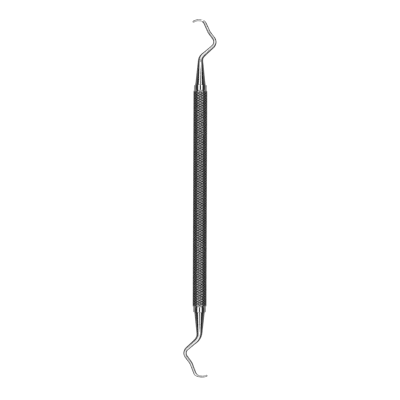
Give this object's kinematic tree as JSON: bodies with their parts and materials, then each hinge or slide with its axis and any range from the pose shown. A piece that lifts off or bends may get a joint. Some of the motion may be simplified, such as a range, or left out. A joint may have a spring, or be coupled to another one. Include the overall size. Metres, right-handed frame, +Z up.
{
  "type": "dental hand scaler",
  "caption": "Double-ended dental hand scaler: hollow octagonal knurled steel handle with a turned collar, a bent tapered shank and a small curved blade at each end.",
  "frame": {"origin": "middle of the handle's lowest flat, which is the bottom centre of the whole instrument's box", "axes": "+Y along the handle towards the upper end, +X towards the side that the upper shank's outer bend reaches out to, +Z up from the flat that the instrument rests on"},
  "size_m": [0.0152, 0.1688, 0.0066],
  "materials": {
    "handle_steel": "stainless steel with a fine rolled diamond knurl, satin, dark in its grooves",
    "collar_steel": "turned and polished stainless steel with faint turning lines",
    "shank_steel": "mirror-polished stainless steel, fine-ground on the blade's face"
  },
  "bodies": {
    "root": {"handle_tube": "handle_steel", "upper_collar": "collar_steel", "lower_collar": "collar_steel", "upper_working_end": "shank_steel", "lower_working_end": "shank_steel"}
  },
  "joints": []
}
